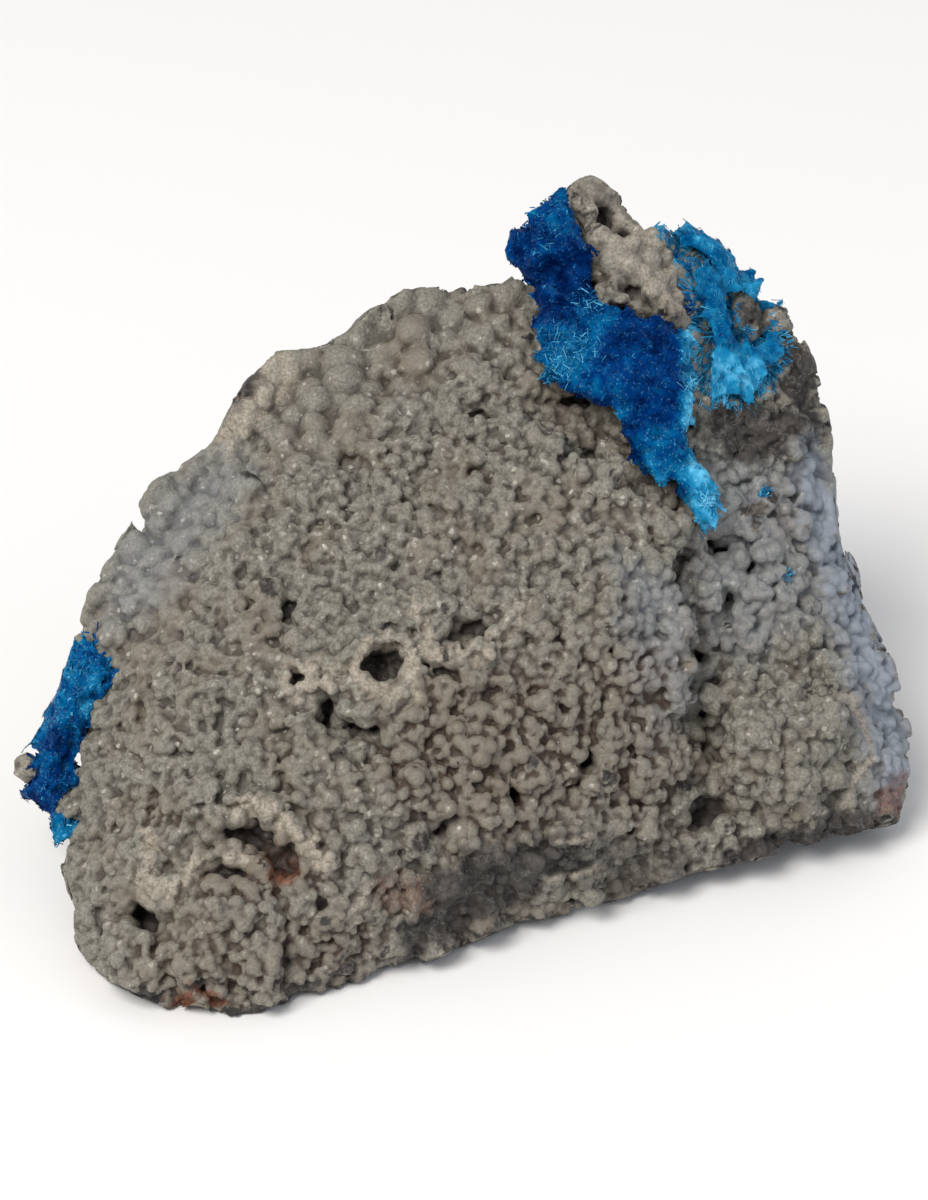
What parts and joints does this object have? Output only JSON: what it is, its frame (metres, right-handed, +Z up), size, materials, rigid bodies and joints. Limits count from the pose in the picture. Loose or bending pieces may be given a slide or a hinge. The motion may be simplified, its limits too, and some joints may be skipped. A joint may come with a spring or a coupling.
{
  "type": "cavansite specimen",
  "caption": "Free-standing block of basalt under a knobbly grey crust, with clusters of vivid blue blade crystals on its crest, flank and left edge.",
  "frame": {"origin": "a point on the flat base, under the middle of the block, at table height", "axes": "+Z up, -Y towards the display side, +X to its right"},
  "size_m": [0.0935, 0.0681, 0.0636],
  "materials": {
    "matrix_crust": "granular grey-beige crust on dark brown basalt, matt with fine sparkles",
    "cavansite": "vivid blue, glassy, slightly translucent small blades",
    "knob_crust": "pale grey granular crust, matt"
  },
  "bodies": {
    "root": {"matrix": "matrix_crust", "cavansite_crest": "cavansite", "cavansite_flank": "cavansite", "cavansite_left": "cavansite", "crust_knob": "knob_crust"}
  },
  "joints": []
}
